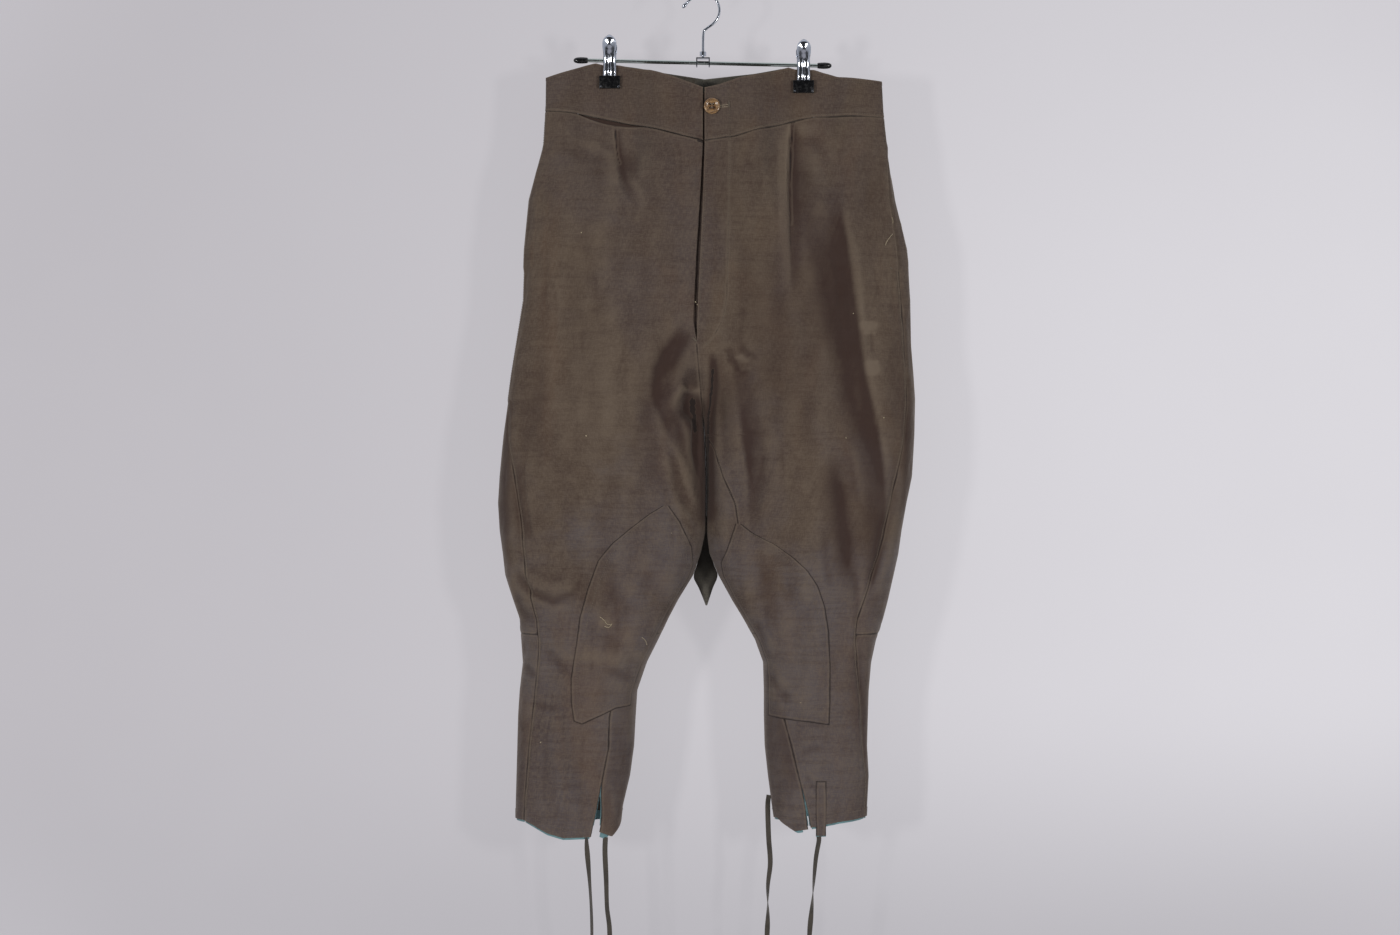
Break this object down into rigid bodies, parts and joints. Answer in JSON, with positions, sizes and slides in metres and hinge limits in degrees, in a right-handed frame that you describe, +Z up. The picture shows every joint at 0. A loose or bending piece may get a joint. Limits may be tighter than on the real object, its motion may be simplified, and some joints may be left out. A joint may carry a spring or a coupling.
{
  "type": "breeches on clip hanger",
  "caption": "Flared military breeches with waist pleats, a button waistband, knee patches and hem ties, hung by clips from a wire hanger",
  "frame": {"origin": "the inner top of the hanger's hook, where it rests on a rail", "axes": "+Z up along the hanging cloth, -Y is the front of the breeches, +X is the wearer's left"},
  "size_m": [0.5195, 0.133, 1.3052],
  "materials": {
    "cloth": "worn cotton twill, matt",
    "tape": "woven cotton tape",
    "horn": "polished horn",
    "chrome": "bright plated wire and sheet",
    "black_plastic": "soft black plastic"
  },
  "bodies": {
    "root": {"waistband_right": "cloth", "waistband_left": "cloth", "waistband_back": "cloth", "front_right": "cloth", "front_left": "cloth", "back_right": "cloth", "back_left": "cloth", "calf_right": "cloth", "calf_left": "cloth", "fly_underlap": "cloth", "watch_pocket": "cloth", "knee_patch_right": "cloth", "knee_patch_left": "cloth", "tie_right_outer": "tape", "tie_right_inner": "tape", "tie_left_inner": "tape", "tie_left_outer": "tape", "slit_tab_left": "tape", "waist_button": "horn", "hanger_hook": "chrome", "hanger_collar": "chrome", "hanger_bracket": "chrome", "hanger_rod": "chrome", "clip_right_arm_front": "chrome", "clip_right_arm_back": "chrome", "clip_right_sleeve": "chrome", "clip_left_arm_front": "chrome", "clip_left_arm_back": "chrome", "clip_left_sleeve": "chrome", "hanger_cap_right": "black_plastic", "hanger_cap_left": "black_plastic", "clip_right_pad_front": "black_plastic", "clip_right_pad_back": "black_plastic", "clip_left_pad_front": "black_plastic", "clip_left_pad_back": "black_plastic"}
  },
  "joints": []
}
